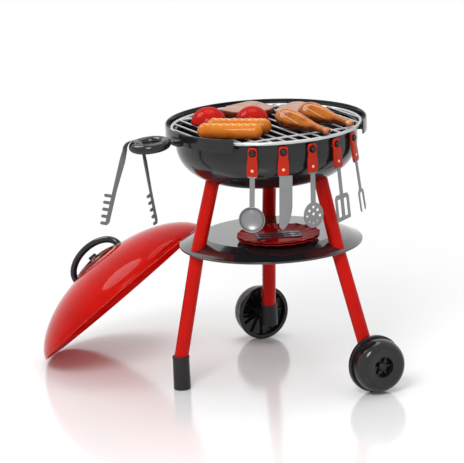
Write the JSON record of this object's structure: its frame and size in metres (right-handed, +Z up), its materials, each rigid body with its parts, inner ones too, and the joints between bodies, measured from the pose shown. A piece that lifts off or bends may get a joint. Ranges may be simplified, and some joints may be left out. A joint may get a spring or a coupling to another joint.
{
  "type": "toy barbecue grill",
  "caption": "Toy kettle barbecue on three legs with two wheels, a shelf, grate, pretend food, hanging utensils and tongs, its domed lid leaning beside it.",
  "frame": {"origin": "on the floor, under the middle of the set's footprint", "axes": "+Z up; the utensil pegs face -Y, the ring handle and the capped leg are on the -X side"},
  "size_m": [0.6068, 0.7606, 0.57],
  "materials": {
    "black_gloss": "gloss black moulded plastic",
    "red_gloss": "gloss red moulded plastic",
    "red_satin": "satin red moulded plastic",
    "black_satin": "satin black moulded plastic",
    "grate_grey": "light grey moulded plastic",
    "silver_plastic": "silver grey moulded plastic",
    "steel": "plain steel",
    "sausage_brown": "orange-brown moulded plastic",
    "tomato_red": "gloss tomato red moulded plastic",
    "steak_brown": "brown moulded plastic",
    "chicken_brown": "caramel brown moulded plastic",
    "cutlery_grey": "dark grey moulded plastic"
  },
  "bodies": {
    "grill": {"bowl": "black_gloss", "side_handle": "black_gloss", "leg_upper_foot": "red_satin", "leg_upper_front": "red_satin", "leg_upper_back": "red_satin", "leg_lower_foot": "red_satin", "leg_lower_front": "red_satin", "leg_lower_back": "red_satin", "foot_cap": "black_satin", "leg_cap_front": "black_satin", "leg_cap_back": "black_satin", "axle_front": "steel", "axle_back": "steel", "hub_cap_front": "black_satin", "hub_cap_back": "black_satin", "shelf": "black_gloss"},
    "wheel_front_body": {"wheel_front": "black_gloss"},
    "wheel_back_body": {"wheel_back": "black_gloss"},
    "lid_body": {"lid": "red_gloss", "vent_grille": "red_satin", "lid_handle": "black_gloss"},
    "vent_body": {"vent_damper": "black_satin", "vent_knob": "black_satin"},
    "grate_body": {"grate": "grate_grey"},
    "sausage_front_body": {"sausage_front": "sausage_brown"},
    "sausage_back_body": {"sausage_back": "sausage_brown"},
    "tomato_left_body": {"tomato_left": "tomato_red"},
    "tomato_right_body": {"tomato_right": "tomato_red"},
    "steak_left_body": {"steak_left": "steak_brown"},
    "steak_right_body": {"steak_right": "steak_brown"},
    "drumstick_front_body": {"drumstick_front": "chicken_brown"},
    "drumstick_back_body": {"drumstick_back": "chicken_brown"},
    "ladle_body": {"ladle_handle": "red_satin", "ladle_blade": "silver_plastic"},
    "knife_body": {"knife_handle": "red_satin", "knife_blade": "silver_plastic"},
    "skimmer_body": {"skimmer_handle": "red_satin", "skimmer_blade": "silver_plastic"},
    "spatula_body": {"spatula_handle": "red_satin", "spatula_blade": "silver_plastic"},
    "fork_body": {"fork_handle": "red_satin", "fork_blade": "silver_plastic"},
    "tongs_body": {"tongs": "silver_plastic"},
    "plate_lower_body": {"plate_lower": "red_satin"},
    "plate_upper_body": {"plate_upper": "red_satin"},
    "table_knife_body": {"table_knife": "cutlery_grey"},
    "table_fork_body": {"table_fork": "cutlery_grey"},
    "table_spoon_body": {"table_spoon": "cutlery_grey"}
  },
  "joints": [
    {"name": "wheel_front_spin", "type": "hinge", "parent": "grill", "child": "wheel_front_body", "pos_m": [0.19651, -0.35626, 0.058], "axis": [0, -1, 0], "continuous": true},
    {"name": "wheel_back_spin", "type": "hinge", "parent": "grill", "child": "wheel_back_body", "pos_m": [0.19651, 0.17038, 0.058], "axis": [0, 1, 0], "continuous": true},
    {"name": "lid_lift", "type": "slide", "parent": "grill", "child": "lid_body", "axis": [-0.4588, 0.4653, 0.7569], "range_m": [0, 0.25]},
    {"name": "vent_turn", "type": "hinge", "parent": "lid_body", "child": "vent_body", "pos_m": [-0.11084, 0.1885, 0.1405], "axis": [-0.4588, 0.4653, 0.7569], "range_deg": [-45, 45]},
    {"name": "grate_lift", "type": "slide", "parent": "grill", "child": "grate_body", "axis": [0, 0, 1], "range_m": [0, 0.1]},
    {"name": "sausage_front_lift", "type": "slide", "parent": "grate_body", "child": "sausage_front_body", "axis": [0, 0, 1], "range_m": [0, 0.05]},
    {"name": "sausage_back_lift", "type": "slide", "parent": "grate_body", "child": "sausage_back_body", "axis": [0, 0, 1], "range_m": [0, 0.05]},
    {"name": "tomato_left_lift", "type": "slide", "parent": "grate_body", "child": "tomato_left_body", "axis": [0, 0, 1], "range_m": [0, 0.05]},
    {"name": "tomato_right_lift", "type": "slide", "parent": "grate_body", "child": "tomato_right_body", "axis": [0, 0, 1], "range_m": [0, 0.05]},
    {"name": "steak_left_lift", "type": "slide", "parent": "grate_body", "child": "steak_left_body", "axis": [0, 0, 1], "range_m": [0, 0.05]},
    {"name": "steak_right_lift", "type": "slide", "parent": "grate_body", "child": "steak_right_body", "axis": [0, 0, 1], "range_m": [0, 0.05]},
    {"name": "drumstick_front_lift", "type": "slide", "parent": "grate_body", "child": "drumstick_front_body", "axis": [0, 0, 1], "range_m": [0, 0.05]},
    {"name": "drumstick_back_lift", "type": "slide", "parent": "grate_body", "child": "drumstick_back_body", "axis": [0, 0, 1], "range_m": [0, 0.05]},
    {"name": "ladle_swing", "type": "hinge", "parent": "grill", "child": "ladle_body", "pos_m": [-0.01326, -0.24781, 0.505], "axis": [-0.585, -0.8111, 0], "range_deg": [-7, 7]},
    {"name": "knife_swing", "type": "hinge", "parent": "grill", "child": "knife_body", "pos_m": [0.04134, -0.27515, 0.505], "axis": [-0.299, -0.9542, 0], "range_deg": [-7, 7]},
    {"name": "skimmer_swing", "type": "hinge", "parent": "grill", "child": "skimmer_body", "pos_m": [0.10177, -0.28386, 0.505], "axis": [0.0174, -0.9998, 0], "range_deg": [-7, 7]},
    {"name": "spatula_swing", "type": "hinge", "parent": "grill", "child": "spatula_body", "pos_m": [0.16187, -0.27305, 0.505], "axis": [0.3322, -0.9432, 0], "range_deg": [-7, 7]},
    {"name": "fork_swing", "type": "hinge", "parent": "grill", "child": "fork_body", "pos_m": [0.21547, -0.24382, 0.505], "axis": [0.6129, -0.7902, 0], "range_deg": [-7, 7]},
    {"name": "tongs_lift", "type": "slide", "parent": "grill", "child": "tongs_body", "axis": [0, 0, 1], "range_m": [0, 0.06]},
    {"name": "plate_lower_lift", "type": "slide", "parent": "grill", "child": "plate_lower_body", "axis": [0, 0, 1], "range_m": [0, 0.03]},
    {"name": "plate_upper_lift", "type": "slide", "parent": "plate_lower_body", "child": "plate_upper_body", "axis": [0, 0, 1], "range_m": [0, 0.03]},
    {"name": "table_knife_lift", "type": "slide", "parent": "plate_upper_body", "child": "table_knife_body", "axis": [0, 0, 1], "range_m": [0, 0.025]},
    {"name": "table_fork_lift", "type": "slide", "parent": "plate_upper_body", "child": "table_fork_body", "axis": [0, 0, 1], "range_m": [0, 0.025]},
    {"name": "table_spoon_lift", "type": "slide", "parent": "plate_upper_body", "child": "table_spoon_body", "axis": [0, 0, 1], "range_m": [0, 0.025]}
  ]
}
